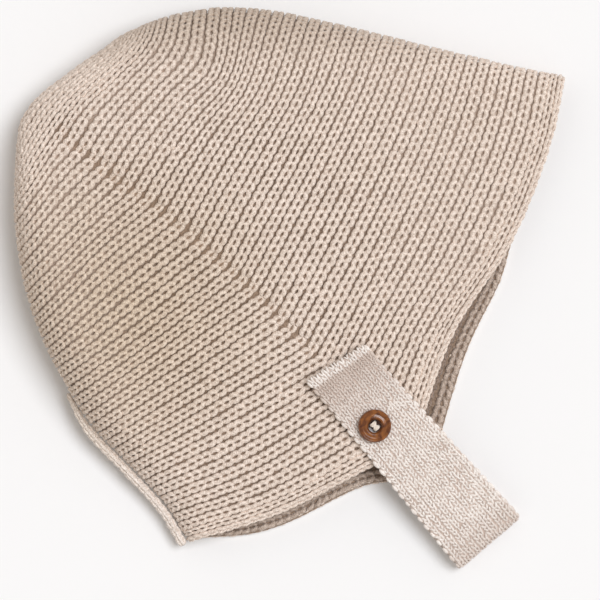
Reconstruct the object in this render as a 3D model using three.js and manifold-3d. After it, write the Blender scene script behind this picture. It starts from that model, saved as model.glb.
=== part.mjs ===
// Baby bonnet knitted in fisherman's rib, with a buttoned chin strap, lying folded on its side.
// Millimetres, +Z up. +X runs to the mouth, +Y to the top fold. The origin is on the surface
// that the bonnet lies on, under the middle of its outline.
import * as THREE from 'three';
import { mergeVertices } from 'three/addons/utils/BufferGeometryUtils.js';
import Module from 'manifold-3d';

const wasm = await Module();
wasm.setup();

// Knitted wall
const wallThickness = 2.8;
const ribRelief = 0.45;
const reliefFadeHeight = 3;
const ribCount = 38;
const ribPitch = 4.8;
const crownRound = 29;
const columnsPerRib = 2;
const turnSteps = [0, 0.08, 0.3, 0.62, 1];
const backSteps = 5;
const frontSteps = 5;

// Chin strap
const strapThickness = 2.2;
const strapStart = { x: 15.8, y: -25.7 };
const strapHeading = THREE.MathUtils.degToRad(-49.4);
const loopRadius = 3.2;
const loopReach = 79.8;
const strapSkew = 0.15;
const skewLength = 14;
const buttonholeLength = 8;
const buttonholeWidth = 4.2;
const upperRunSteps = 28;
const loopSteps = 8;
const lowerRunSteps = 16;

// Button and its thread
const buttonRadius = 5.7;
const buttonThickness = 2.4;
const buttonPlace = { x: 29.4, y: -47.6 };
const buttonFacets = 28;
const threadHoleRadius = 0.7;
const threadHoleOffset = 0.95;
const threadRadius = 0.38;
const shankRadius = 1.1;
const shankTopRadius = 1.75;
const holeFacets = 12;
const threadFacets = 10;
const shankFacets = 16;

// Outline of half the button, from the middle of its back to the dish: shares of its radius and of
// half its thickness
const buttonColumns = ['radius', 'height'];
const buttonRows = [
  [0, -1],
  [0.6, -1],
  [0.94, -0.5],
  [1, 0.2],
  [0.92, 0.95],
  [0.8, 0.95],
  [0.74, 0.6],
  [0.5, 0.74],
  [0.42, 0],
  [0, -0.15],
];

// Seam down the back of the head
const seamHalfWidth = 1.5;
const seamHalfHeight = 1.3;
const seamLastRib = 17.4;
const linkPitch = 3.1;
const linkDip = 0.14;
const seamCorners = 6;
const seamStepsPerRib = 6;
const topEndShare = 0.4;
const topEndTaper = 3;
const neckEndShare = 0.55;
const neckEndSteps = 4;

// Pieces that touch on the real bonnet keep this gap
const seatGap = 0.3;

// One row for each measured rib, counted from the mouth to the crown. A rib runs from the back
// seam along the neck to the mitre, turns there, and runs along the face up to the top fold.
const ribColumns = ['rib', 'backX', 'backY', 'backMidX', 'backMidY', 'mitreX', 'mitreY', 'lowX', 'lowY',
  'highX', 'highY', 'bendX', 'bendY', 'topX', 'topY'];
const ribRows = [
  [0, -34.3, -87.6, 0, -76.3, 37.8, -50, 56.7, -15.4, 77, 16.4, 90.3, 49.3, 95.5, 73.1],
  [4, -42.2, -74.7, -10.5, -61.9, 26.6, -38.8, 39.2, -12.6, 54.6, 13.6, 70.3, 48.6, 78.5, 76.6],
  [9, -55.3, -60.3, -23.7, -42.9, 9.1, -23, 19.2, -3.9, 32.8, 22.3, 47.5, 54.1, 57.4, 81.3],
  [14, -68.3, -46.4, -39, -26.5, -8.3, -4.9, 1.8, 13.6, 15.3, 39.7, 27.9, 65.8, 36.2, 86.4],
  [19, -78.3, -30.5, -52.1, -10.8, -25, 10.7, -15.3, 29.2, -4.5, 48.3, 6.6, 69.1, 15, 91.4],
  [24, -86.7, -13, -64.9, 9, -43.7, 26.7, -36.1, 39.5, -26.3, 54.4, -14.9, 70.4, -6.3, 95.7],
  [28, -91.7, 3.4, -74.9, 21.8, -58.9, 37.1, -50.3, 50.6, -38.1, 65.5, -27.4, 77.3, -24, 96.7],
  [31, -94, 17.8, -82.2, 34, -70.4, 46.5, -62.4, 58.6, -51, 71.4, -40.9, 82.9, -37.7, 94.8],
  [33.3, -94.7, 28.5, -86.4, 42.7, -78.5, 54.1, -71.5, 63.5, -60.7, 73.6, -50.3, 84, -46.8, 92.2],
  [38, -94.2, 46.6, -92.8, 57.1, -88.6, 64.5, -82, 70.1, -72.5, 77.1, -63.8, 83, -58.9, 86.9],
];

// How high the middle of the wall lies above the surface at both folds and on top,
// and how far from a fold the wall has turned level
const heightColumns = ['rib', 'backFold', 'topFold', 'backRise', 'topRise', 'backRound', 'topRound'];
const heightRows = [
  [0, 5, 5.5, 9.6, 10.4, 7, 7],
  [4, 6, 6.5, 12.5, 12.5, 8, 8],
  [9, 7.5, 8, 17, 16.5, 10, 10],
  [14, 9, 9.5, 22, 21, 12, 12],
  [19, 10.5, 11, 26, 25, 14, 14],
  [24, 12, 12, 29, 28.5, 15, 16],
  [28, 12.5, 13, 30, 30, 15, 16],
  [31, 12.5, 13, 29, 29, 13, 13],
  [38, 12, 12, 26, 26, 8, 8],
];

// How far the lower layer slides out from under the upper one, along the mouth edge
const slideX = 9.5;
const slideY = -11.5;
const slideRibs = 16;
const slideColumns = ['along', 'share'];
const slideRows = [
  [0, 0],
  [0.12, 0.33],
  [0.36, 0.38],
  [0.5, 1],
  [0.62, 0.55],
  [0.73, 0.32],
  [0.8, 0],
  [1, 0],
];

// Middle of the strap: distance from its free end, height and width
const upperRunColumns = ['along', 'height', 'width'];
const upperRun = [
  [0, 19.8, 24],
  [1.6, 20.2, 24],
  [4, 19.2, 24],
  [7.5, 17.5, 24],
  [12, 16.65, 24],
  [18, 15.65, 24.4],
  [28, 14.15, 24.8],
  [33, 13.5, 25.1],
  [38, 12.8, 25.4],
  [52, 10.9, 26.4],
  [68, 8.9, 27.4],
  [79.8, 7.5, 28],
];
const lowerRunColumns = ['along', 'height', 'width'];
const lowerRun = [
  [79.8, 1.1, 28],
  [70, 1.1, 27.4],
  [60, 1.1, 26.6],
  [54.5, 2.2, 26.2],
  [51, 3.7, 26],
  [48.5, 4.2, 25.6],
  [42, 4.3, 25],
  [36, 4.3, 24.6],
];

// Smooth reading of a table at any value of its first column
function readTable(names, rows, value) {
  const last = rows.length - 1;
  let index = 0;
  while (index < last - 1 && value > rows[index + 1][0]) {
    index += 1;
  }
  const step = rows[index + 1][0] - rows[index][0];
  const part = THREE.MathUtils.clamp((value - rows[index][0]) / step, 0, 1);
  const slope = (row, column) => {
    const before = rows[Math.max(row - 1, 0)];
    const after = rows[Math.min(row + 1, last)];
    return (after[column] - before[column]) / (after[0] - before[0]);
  };
  const result = {};
  names.forEach((name, column) => {
    const low = rows[index][column];
    const high = rows[index + 1][column];
    const start = slope(index, column) * step;
    const end = slope(index + 1, column) * step;
    const bend = 2 * (low - high) + start + end;
    const lean = 3 * (high - low) - 2 * start - end;
    result[name] = ((bend * part + lean) * part + start) * part + low;
  });
  return result;
}

// Both halves of one rib seen from above, as curves that meet at the mitre
function ribCurves(rib) {
  const row = readTable(ribColumns, ribRows, rib);
  const point = (name) => new THREE.Vector3(row[`${name}X`], row[`${name}Y`], 0);
  const back = ['back', 'backMid', 'mitre'].map(point);
  const front = ['mitre', 'low', 'high', 'bend', 'top'].map(point);
  return {
    back: new THREE.CatmullRomCurve3(back, false, 'catmullrom', 0.5),
    front: new THREE.CatmullRomCurve3(front, false, 'catmullrom', 0.5),
  };
}

// Quarter of an ellipse that leaves a fold upright and arrives level at 1
function turnLevel(share) {
  const rest = 1 - Math.min(share, 1);
  return Math.sqrt(Math.max(1 - rest * rest, 0));
}

// Places of the rows of points along one rib: close together where the wall turns at a fold
function ribStations(curves, heights) {
  const backLength = curves.back.getLength();
  const frontLength = curves.front.getLength();
  const stations = [];
  for (const share of turnSteps) {
    stations.push(share * heights.backRound / backLength / 2);
  }
  const backLevel = heights.backRound / backLength / 2;
  for (let step = 1; step <= backSteps; step += 1) {
    stations.push(THREE.MathUtils.lerp(backLevel, 0.5, step / backSteps));
  }
  const topLevel = 1 - heights.topRound / frontLength / 2;
  for (let step = 1; step <= frontSteps; step += 1) {
    stations.push(THREE.MathUtils.lerp(0.5, topLevel, step / frontSteps));
  }
  for (const share of [...turnSteps].reverse().slice(1)) {
    stations.push(1 - share * heights.topRound / frontLength / 2);
  }
  return stations;
}

// Middle of the wall at a place along a rib, 0 at the back seam, 0.5 at the mitre, 1 at the top fold
function wallPoint(rib, curves, heights, along, upper) {
  const onBack = along <= 0.5;
  const curve = onBack ? curves.back : curves.front;
  const point = curve.getPointAt(onBack ? along * 2 : along * 2 - 1);
  const fromBack = along * 2 * curves.back.getLength() / heights.backRound;
  const fromTop = (1 - along) * 2 * curves.front.getLength() / heights.topRound;
  const fromCrown = (ribCount - rib) * ribPitch / crownRound;
  const share = turnLevel(fromBack) * turnLevel(fromTop) * turnLevel(fromCrown);
  const fold = THREE.MathUtils.lerp(heights.backFold, heights.topFold, along);
  const rise = THREE.MathUtils.lerp(heights.backRise, heights.topRise, along);
  const level = upper ? rise : wallThickness / 2;
  point.z = fold + (level - fold) * share;
  if (!upper) {
    const slide = readTable(slideColumns, slideRows, along).share;
    const fade = Math.max(1 - rib / slideRibs, 0) ** 2;
    point.x += slideX * slide * fade;
    point.y += slideY * slide * fade;
  }
  return point;
}

// Middle of the whole wall as rings of points round the head, from the mouth to the crown.
// A ring runs along the lower layer to the top fold and back along the upper layer, and the
// last ring is folded shut, so that both its halves share their points.
function wallRings() {
  const rings = [];
  for (let column = 0; column <= ribCount * columnsPerRib; column += 1) {
    const rib = column / columnsPerRib;
    const curves = ribCurves(rib);
    const heights = readTable(heightColumns, heightRows, rib);
    const stations = ribStations(curves, heights);
    const upper = stations.map((along) => wallPoint(rib, curves, heights, along, true));
    const lower = stations.map((along) => wallPoint(rib, curves, heights, along, false));
    rings.push([...lower, ...upper.slice(1, -1).reverse()]);
  }
  return rings;
}

// Triangles between rings of points, with the last ring folded shut
function ringTriangles(columnCount, ringSize, shut) {
  const triangles = [];
  const place = (column, row) => {
    const wrapped = (row + ringSize) % ringSize;
    const folded = shut && column === columnCount && wrapped > ringSize / 2;
    return column * ringSize + (folded ? ringSize - wrapped : wrapped);
  };
  for (let column = 0; column < columnCount; column += 1) {
    for (let row = 0; row < ringSize; row += 1) {
      const a = place(column, row);
      const b = place(column + 1, row);
      const c = place(column + 1, row + 1);
      const d = place(column, row + 1);
      triangles.push(a, b, c, a, c, d);
    }
  }
  return triangles;
}

function pointNormals(points, triangles) {
  const geometry = new THREE.BufferGeometry().setFromPoints(points);
  geometry.setIndex(triangles);
  geometry.computeVertexNormals();
  const normals = geometry.getAttribute('normal');
  return points.map((point, index) => new THREE.Vector3().fromBufferAttribute(normals, index));
}

// Geometry of a closed body, with the points that its faces share merged
function closedGeometry(points, triangles) {
  const geometry = new THREE.BufferGeometry().setFromPoints(points);
  geometry.setIndex(triangles);
  return mergeVertices(geometry.toNonIndexed(), 1e-5);
}

function toManifold(geometry) {
  const bare = geometry.clone();
  bare.deleteAttribute('normal');
  bare.deleteAttribute('uv');
  const merged = mergeVertices(bare, 1e-5);
  return new wasm.Manifold(new wasm.Mesh({
    numProp: 3,
    vertProperties: new Float32Array(merged.getAttribute('position').array),
    triVerts: new Uint32Array(merged.index.array),
  }));
}

function fromManifold(solid) {
  const mesh = solid.getMesh();
  const geometry = new THREE.BufferGeometry();
  geometry.setAttribute('position', new THREE.BufferAttribute(mesh.vertProperties, 3));
  geometry.setIndex(new THREE.BufferAttribute(mesh.triVerts, 1));
  return geometry;
}

// Hollow pouch: ribbed skin outside, plain skin inside, and a rim round the one opening
function shellGeometry() {
  const rings = wallRings();
  const ringSize = rings[0].length;
  const lastColumn = rings.length - 1;
  const middle = rings.flat();
  const outerTriangles = ringTriangles(lastColumn, ringSize, true);
  const normals = pointNormals(middle, outerTriangles);
  const outer = middle.map((point, index) => {
    const column = Math.floor(index / ringSize);
    const lift = THREE.MathUtils.clamp((point.z - wallThickness / 2) / reliefFadeHeight, 0, 1);
    const wave = -Math.cos(2 * Math.PI * column / columnsPerRib);
    const offset = wallThickness / 2 + ribRelief * wave * lift;
    return point.clone().addScaledVector(normals[index], offset);
  });
  const innerColumns = rings.map((ring, column) => column).filter((column) => column % columnsPerRib === 0);
  const inner = innerColumns.flatMap((column) => rings[column].map((point, row) => {
    const normal = normals[column * ringSize + row];
    return point.clone().addScaledVector(normal, -wallThickness / 2);
  }));
  const innerStart = outer.length;
  const innerTriangles = ringTriangles(innerColumns.length - 1, ringSize, true);
  const triangles = [...outerTriangles];
  for (let corner = 0; corner < innerTriangles.length; corner += 3) {
    const [a, b, c] = innerTriangles.slice(corner, corner + 3);
    triangles.push(innerStart + a, innerStart + c, innerStart + b);
  }
  for (let row = 0; row < ringSize; row += 1) {
    const next = (row + 1) % ringSize;
    triangles.push(row, next, innerStart + next);
    triangles.push(row, innerStart + next, innerStart + row);
  }
  return closedGeometry([...outer, ...inner], triangles);
}

// Closed band or rope: one ring of points for each section, and a fan over each end
function sweptGeometry(sections) {
  const ringSize = sections[0].length;
  const points = sections.flat();
  const triangles = ringTriangles(sections.length - 1, ringSize, false);
  const lastStart = (sections.length - 1) * ringSize;
  for (let row = 1; row < ringSize - 1; row += 1) {
    triangles.push(0, row, row + 1);
    triangles.push(lastStart, lastStart + row + 1, lastStart + row);
  }
  return closedGeometry(points, triangles);
}

// Middle line of the strap: over the near corner, round the loop, and back under to the far corner
function strapStations() {
  const runCurve = (rows) => {
    const points = rows.map(([along, height, width]) => new THREE.Vector3(along, height, width));
    return new THREE.CatmullRomCurve3(points, false, 'centripetal');
  };
  const upper = runCurve(upperRun).getSpacedPoints(upperRunSteps);
  const lower = runCurve(lowerRun).getSpacedPoints(lowerRunSteps);
  const loop = [];
  const loopWidth = upperRun.at(-1)[2];
  for (let step = 1; step < loopSteps; step += 1) {
    const angle = Math.PI / 2 - Math.PI * step / loopSteps;
    const along = loopReach + loopRadius * Math.cos(angle);
    const height = strapThickness / 2 + loopRadius * (1 + Math.sin(angle));
    loop.push(new THREE.Vector3(along, height, loopWidth));
  }
  return [...upper, ...loop, ...lower];
}

// Cross-section of the strap, as shares of its half width and half thickness
const strapSection = [
  [-1, 0.45], [-0.93, 1], [0, 1], [0.93, 1], [1, 0.45],
  [1, -0.45], [0.93, -1], [0, -1], [-0.93, -1], [-1, -0.45],
];

function strapPlace(along, across, height) {
  const x = strapStart.x + along * Math.cos(strapHeading) - across * Math.sin(strapHeading);
  const y = strapStart.y + along * Math.sin(strapHeading) + across * Math.cos(strapHeading);
  return new THREE.Vector3(x, y, height);
}

function strapGeometry() {
  const stations = strapStations();
  const sections = stations.map((station, index) => {
    const before = stations[Math.max(index - 1, 0)];
    const after = stations[Math.min(index + 1, stations.length - 1)];
    const tangent = new THREE.Vector2(after.x - before.x, after.y - before.y).normalize();
    const skew = index <= upperRunSteps ? strapSkew * Math.max(1 - station.x / skewLength, 0) : 0;
    return strapSection.map(([acrossShare, thicknessShare]) => {
      const across = acrossShare * station.z / 2;
      const lift = thicknessShare * strapThickness / 2;
      const along = station.x - tangent.y * lift + across * skew;
      return strapPlace(along, across, Math.max(station.y + tangent.x * lift, 0));
    });
  });
  const band = toManifold(sweptGeometry(sections));
  const { along, across } = buttonOnStrap();
  const { height } = upperRunAt(along);
  const slot = new THREE.BoxGeometry(buttonholeLength, buttonholeWidth, 3 * strapThickness);
  const place = strapPlace(along, across, height);
  slot.rotateZ(strapHeading).translate(place.x, place.y, place.z);
  return fromManifold(band.subtract(toManifold(slot)));
}

// Height and slope of the middle of the upper run of the strap, at a distance from its free end
function upperRunAt(along) {
  const reach = 3;
  const { height } = readTable(upperRunColumns, upperRun, along);
  const before = readTable(upperRunColumns, upperRun, along - reach).height;
  const after = readTable(upperRunColumns, upperRun, along + reach).height;
  return { height, slope: Math.atan2(after - before, 2 * reach) };
}

// Place of the button along the strap and across it
function buttonOnStrap() {
  const offset = new THREE.Vector2(buttonPlace.x - strapStart.x, buttonPlace.y - strapStart.y);
  offset.rotateAround(new THREE.Vector2(0, 0), -strapHeading);
  return { along: offset.x, across: offset.y };
}

// Four-hole button: a raised rim, a groove inside it and a dished middle
function buttonGeometry() {
  const outline = buttonRows.map((row) => {
    const [radius, height] = buttonColumns.map((name, column) => row[column]);
    return new THREE.Vector2(radius * buttonRadius, height * buttonThickness / 2);
  });
  const disc = new THREE.LatheGeometry(outline, buttonFacets).rotateX(Math.PI / 2);
  let solid = toManifold(disc);
  for (const [x, y] of threadHoles()) {
    const hole = new THREE.CylinderGeometry(threadHoleRadius, threadHoleRadius, 2 * buttonThickness, holeFacets);
    hole.rotateX(Math.PI / 2).translate(x, y, 0);
    solid = solid.subtract(toManifold(hole));
  }
  return fromManifold(solid);
}

function threadHoles() {
  const places = [];
  for (const x of [-threadHoleOffset, threadHoleOffset]) {
    for (const y of [-threadHoleOffset, threadHoleOffset]) {
      places.push([x, y]);
    }
  }
  return places;
}

// Thread that sews the button on: a wound shank through the strap, four posts up through the
// holes of the button, and two stitches side by side over its middle
function threadGeometry(shankLength) {
  const half = buttonThickness / 2;
  const postTop = 0.1 * half + seatGap + threadRadius;
  const shankTop = -half - seatGap;
  const shank = new THREE.CylinderGeometry(shankTopRadius, shankRadius, shankLength, shankFacets);
  shank.rotateX(Math.PI / 2).translate(0, 0, shankTop - shankLength / 2);
  let solid = toManifold(shank);
  for (const [x, y] of threadHoles()) {
    const bottom = shankTop - threadRadius / 2;
    const post = new THREE.CylinderGeometry(threadRadius, threadRadius, postTop - bottom, threadFacets);
    post.rotateX(Math.PI / 2).translate(x, y, (postTop + bottom) / 2);
    solid = solid.add(toManifold(post));
  }
  for (const x of [-threadHoleOffset, threadHoleOffset]) {
    const stitch = new THREE.CapsuleGeometry(threadRadius, 2 * threadHoleOffset, 4, threadFacets);
    stitch.translate(x, 0, postTop);
    solid = solid.add(toManifold(stitch));
  }
  return fromManifold(solid);
}

// Seam down the back of the head: a chain of links beside the back fold of the wall
function seamGeometry() {
  const foldPoints = [];
  const lastStep = seamLastRib * seamStepsPerRib;
  for (let step = 0; step <= lastStep; step += 1) {
    const rib = step / seamStepsPerRib;
    const row = readTable(ribColumns, ribRows, rib);
    const heights = readTable(heightColumns, heightRows, rib);
    foldPoints.push(new THREE.Vector3(row.backX, row.backY, heights.backFold));
  }
  const fold = new THREE.CatmullRomCurve3(foldPoints);
  const offset = wallThickness / 2 + ribRelief + seatGap + seamHalfWidth;
  const count = Math.round(fold.getLength() / linkPitch * 4);
  const sections = [];
  for (let step = 0; step <= count; step += 1) {
    const place = fold.getPointAt(step / count);
    const heading = fold.getTangentAt(step / count);
    const outward = new THREE.Vector3(-heading.y, heading.x, 0).normalize();
    const link = 1 - linkDip * (1 - Math.cos(Math.PI * step / 2));
    const topEnd = topEndShare + topEndTaper * (1 - step / count);
    const neckEnd = neckEndShare + step / neckEndSteps;
    const taper = Math.min(1, topEnd, neckEnd);
    const section = [];
    for (let corner = 0; corner < seamCorners; corner += 1) {
      const angle = -2 * Math.PI * corner / seamCorners;
      const wide = seamHalfWidth * link * taper * Math.cos(angle);
      const high = seamHalfHeight * link * taper * Math.sin(angle);
      const point = place.clone().addScaledVector(outward, offset + wide);
      point.z += high;
      section.push(point);
    }
    sections.push(section);
  }
  return sweptGeometry(sections);
}

const strapColour = 0xe3d7cf;
const knitColour = 0xcebdaf;
const buttonColour = 0x6f4526;
const threadColour = 0xe9e0d6;

function namedMesh(name, geometry, colour, roughness, metalness) {
  const material = new THREE.MeshStandardMaterial({ color: colour, roughness, metalness });
  const mesh = new THREE.Mesh(geometry, material);
  mesh.name = name;
  return mesh;
}

const group = new THREE.Group();
group.add(namedMesh('knit_shell', shellGeometry(), knitColour, 0.9, 0));
group.add(namedMesh('back_seam', seamGeometry(), knitColour, 0.9, 0));
group.add(namedMesh('chin_strap', strapGeometry(), strapColour, 0.9, 0));

// The button and its thread lie on the strap and lean with its slope
const { height: runHeight, slope: runSlope } = upperRunAt(buttonOnStrap().along);
const fastening = new THREE.Group();
fastening.position.set(buttonPlace.x, buttonPlace.y, runHeight);
fastening.rotation.set(0, -runSlope, strapHeading, 'ZYX');
const seat = new THREE.Group();
seat.position.z = strapThickness / 2 + seatGap + buttonThickness / 2;
seat.add(namedMesh('button', buttonGeometry(), buttonColour, 0.3, 0));
seat.add(namedMesh('button_thread', threadGeometry(strapThickness + 2 * seatGap), threadColour, 0.8, 0));
fastening.add(seat);
group.add(fastening);

export default group;
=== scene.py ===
# Baby bonnet in fisherman's rib, lying folded on its side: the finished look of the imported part
import math
import bpy
import numpy as np
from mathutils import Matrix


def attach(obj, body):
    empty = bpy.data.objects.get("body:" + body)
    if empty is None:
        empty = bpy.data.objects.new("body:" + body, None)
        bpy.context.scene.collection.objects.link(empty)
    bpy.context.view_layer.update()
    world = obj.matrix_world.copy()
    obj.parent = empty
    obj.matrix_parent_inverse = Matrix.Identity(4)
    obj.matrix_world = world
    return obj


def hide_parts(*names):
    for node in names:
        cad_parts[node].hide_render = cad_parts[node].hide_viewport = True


# Blender's own first objects go before the load, so that the CAD box is the part's alone
for leftover in ("Cube", "Light", "Camera"):
    if leftover in bpy.data.objects:
        bpy.data.objects.remove(bpy.data.objects[leftover])
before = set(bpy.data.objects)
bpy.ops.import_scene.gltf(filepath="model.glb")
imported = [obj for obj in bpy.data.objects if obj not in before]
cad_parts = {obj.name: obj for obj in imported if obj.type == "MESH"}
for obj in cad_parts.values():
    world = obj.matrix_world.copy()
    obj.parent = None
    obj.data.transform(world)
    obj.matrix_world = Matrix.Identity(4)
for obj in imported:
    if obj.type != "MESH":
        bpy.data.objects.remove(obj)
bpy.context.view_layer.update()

# Lengths in the tables are millimetres, and a mesh is made in metres
millimetre = 0.001

# Knitted wall: its ribs and stitches, what the mitre does to them, and the slide of the lower layer
wall = {
    "thickness": 2.8,
    "relief": 0.45,
    "ribs": 38,
    "crownPiece": 30,
    "mitreSink": 0.7,
    "mitreNarrow": 0.20,
    "mitreReach": 2.0,
    "mitreRibs": (9, 34),
    "ribPitch": 4.8,
    "crownRound": 29.0,
    "stitchPitch": 3.0,
    "slideX": 9.5,
    "slideY": -11.5,
    "slideRibs": 16.0,
    "liftOver": 3.0,
    "gridPerRib": 4,
    "backRows": 24,
    "frontRows": 28,
}
# each row is a rib seen from above, from the back seam to the top fold:
# rib, backX, backY, backMidX, backMidY, mitreX, mitreY, lowX, lowY, highX, highY, bendX, bendY, topX, topY
ribRows = np.array([
    [0, -34.3, -87.6, 0, -76.3, 43.2, -53.6, 56.7, -15.4, 77, 16.4, 90.3, 49.3, 95.5, 73.1],
    [4, -42.2, -74.7, -10.5, -61.9, 26.6, -38.8, 39.2, -12.6, 54.6, 13.6, 70.3, 48.6, 78.5, 76.6],
    [9, -55.3, -60.3, -23.7, -42.9, 9.1, -23, 19.2, -3.9, 32.8, 22.3, 47.5, 54.1, 57.4, 81.3],
    [14, -68.3, -46.4, -39, -26.5, -8.3, -4.9, 1.8, 13.6, 15.3, 39.7, 27.9, 65.8, 36.2, 86.4],
    [19, -78.3, -30.5, -52.1, -10.8, -25, 10.7, -15.3, 29.2, -4.5, 48.3, 6.6, 69.1, 15, 91.4],
    [24, -86.7, -13, -64.9, 9, -43.7, 26.7, -36.1, 39.5, -26.3, 54.4, -14.9, 70.4, -6.3, 95.7],
    [28, -91.7, 3.4, -74.9, 21.8, -58.9, 37.1, -50.3, 50.6, -38.1, 65.5, -27.4, 77.3, -24, 96.7],
    [31, -94, 17.8, -82.2, 34, -70.4, 46.5, -62.4, 58.6, -51, 71.4, -40.9, 82.9, -37.7, 94.8],
    [33.3, -94.7, 28.5, -86.4, 42.7, -78.5, 54.1, -71.5, 63.5, -60.7, 73.6, -50.3, 84, -46.8, 92.2],
    [38, -94.2, 46.6, -92.8, 57.1, -88.6, 64.5, -82, 70.1, -72.5, 77.1, -63.8, 83, -58.9, 86.9],
])
# rib, backFold, topFold, backRise, topRise, backRound, topRound
heightRows = np.array([
    [0, 5, 5.5, 9.6, 10.4, 7, 7],
    [4, 6, 6.5, 12.5, 12.5, 8, 8],
    [9, 7.5, 8, 17, 16.5, 10, 10],
    [14, 9, 9.5, 22, 21, 12, 12],
    [19, 10.5, 11, 26, 25, 14, 14],
    [24, 12, 12, 29, 28.5, 15, 16],
    [28, 12.5, 13, 30, 30, 15, 16],
    [31, 12.5, 13, 29, 29, 13, 13],
    [38, 12, 12, 26, 26, 8, 8],
])
# share of the way along a rib, and of the lower layer's slide towards x and y there
slideRows = np.array([
    [0, 0, 0], [0.12, 0.33, 0.33], [0.36, 0.30, 0.38], [0.5, 0.52, 1],
    [0.62, 0.62, 0.55], [0.73, 0.38, 0.32], [0.8, 0, 0], [1, 0, 0],
])


def unit(vectors):
    # (the least length is for a place where a line turns back on itself)
    return vectors / np.maximum(np.linalg.norm(vectors, axis=-1, keepdims=True), 1e-9)


def lengthsAlong(points):
    return np.concatenate([[0], np.cumsum(np.linalg.norm(np.diff(points, axis=0), axis=1))])


def readColumns(values, places, columns):
    # straight reading of every column at any values of the places
    return np.stack([np.interp(values, places, column) for column in np.transpose(columns)], axis=-1)


def readTable(rows, values):
    # smooth reading of a table at any values of its first column
    values = np.atleast_1d(np.asarray(values, float))
    last = len(rows) - 1
    index = np.clip(np.searchsorted(rows[:, 0], values, side="left") - 1, 0, last - 1)
    low, high = rows[index], rows[index + 1]
    step = high[:, :1] - low[:, :1]
    part = np.clip((values[:, None] - low[:, :1]) / step, 0, 1)
    before, after = rows[np.maximum(index - 1, 0)], rows[np.minimum(index + 2, last)]
    start = (high - before) / (high[:, :1] - before[:, :1]) * step
    end = (after - low) / (after[:, :1] - low[:, :1]) * step
    bend = 2 * (low - high) + start + end
    lean = 3 * (high - low) - 2 * start - end
    return ((bend * part + lean) * part + start) * part + low


def smoothLine(corners, count=200):
    # curve through the corners, and the length up to each of its points
    corners = np.asarray(corners, float)
    padded = np.vstack([2 * corners[0] - corners[1], corners, 2 * corners[-1] - corners[-2]])
    place = np.linspace(0, len(corners) - 1, count + 1)
    index = np.minimum(place.astype(int), len(corners) - 2)
    part = (place - index)[:, None]
    a, b, c, d = (padded[index + step] for step in range(4))
    start, end = (c - a) / 2, (d - b) / 2
    points = ((2 * (b - c) + start + end) * part + 3 * (c - b) - 2 * start - end) * part * part
    points += start * part + b
    return points, lengthsAlong(points)


def turnLevel(share):
    # quarter of an ellipse that leaves a fold upright and arrives level at 1
    rest = 1 - np.minimum(share, 1)
    return np.sqrt(np.maximum(1 - rest * rest, 0))


# rows of points over a fold, in shares of its turn, and the mitre's share of the way along a rib
turnShares = np.array([0, 0.015, 0.06, 0.13, 0.23, 0.36, 0.52, 0.72, 1.0])
mitreShare = 0.5


def wallRing(rib):
    # middle of the wall round the head at one rib: the upper layer, then the lower one back
    # (the first half of the way is behind the mitre and the second half before it)
    row = readTable(ribRows, rib)[0]
    heights = readTable(heightRows, rib)[0]
    backFold, topFold, backRise, topRise, backRound, topRound = heights[1:]
    back, backLengths = smoothLine(row[1:7].reshape(3, 2))
    front, frontLengths = smoothLine(row[5:15].reshape(5, 2))
    backLength, frontLength = backLengths[-1], frontLengths[-1]
    backTurn = turnShares * backRound / backLength / 2
    topTurn = 1 - turnShares[::-1] * topRound / frontLength / 2
    backRun = np.linspace(backTurn[-1], mitreShare, wall["backRows"] + 1)[1:]
    frontRun = np.linspace(mitreShare, topTurn[0], wall["frontRows"] + 1)[1:-1]
    along = np.concatenate([backTurn, backRun, frontRun, topTurn])
    flat = np.where(
        (along <= mitreShare)[:, None],
        readColumns(np.minimum(along * 2, 1) * backLength, backLengths, back),
        readColumns(np.maximum(along * 2 - 1, 0) * frontLength, frontLengths, front),
    )
    share = turnLevel(along * 2 * backLength / backRound)
    share = share * turnLevel((1 - along) * 2 * frontLength / topRound)
    share = share * turnLevel((wall["ribs"] - rib) * wall["ribPitch"] / wall["crownRound"])
    fold = backFold + (topFold - backFold) * along
    rise = backRise + (topRise - backRise) * along
    upper = np.column_stack([flat, fold + (rise - fold) * share])
    lower = np.column_stack([flat, fold + (wall["thickness"] / 2 - fold) * share])
    slide = readTable(slideRows, along)[:, 1:] * max(1 - rib / wall["slideRibs"], 0) ** 2
    lower[:, 0] += wall["slideX"] * slide[:, 0]
    lower[:, 1] += wall["slideY"] * slide[:, 1]
    return np.vstack([upper, lower[-2:0:-1]]), along


def wallNormals(points):
    # outward direction at every point of the rings, with the last ring folded shut
    size = points.shape[1]
    following = np.roll(points, -1, axis=1)
    faces = np.cross(following[1:] - points[:-1], following[:-1] - points[1:])
    normals = np.zeros_like(points)
    for shift in (0, 1):
        turned = np.roll(faces, shift, axis=1)
        normals[:-1] += turned
        normals[1:] += turned
    mirrored = (size - np.arange(size)) % size
    normals[-1] = normals[-1] + normals[-1][mirrored]
    return -unit(normals)


gridRibs = np.arange(wall["ribs"] * wall["gridPerRib"] + 1) / wall["gridPerRib"]
wallPoints = np.stack([wallRing(rib)[0] for rib in gridRibs])
ringAlong = wallRing(0.0)[1]
upperCount = len(ringAlong)
mitreRow = int(np.argmin(np.abs(ringAlong - mitreShare)))
outward = wallNormals(wallPoints)
ringSize = wallPoints.shape[1]
wallLift = np.clip((wallPoints[:, :, 2] - wall["thickness"] / 2) / wall["liftOver"], 0, 1)
print("wall laid out:", wallPoints.shape)


def deselect():
    if bpy.context.object and bpy.context.object.mode != "OBJECT":
        bpy.ops.object.mode_set(mode="OBJECT")
    bpy.ops.object.select_all(action="DESELECT")


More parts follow.
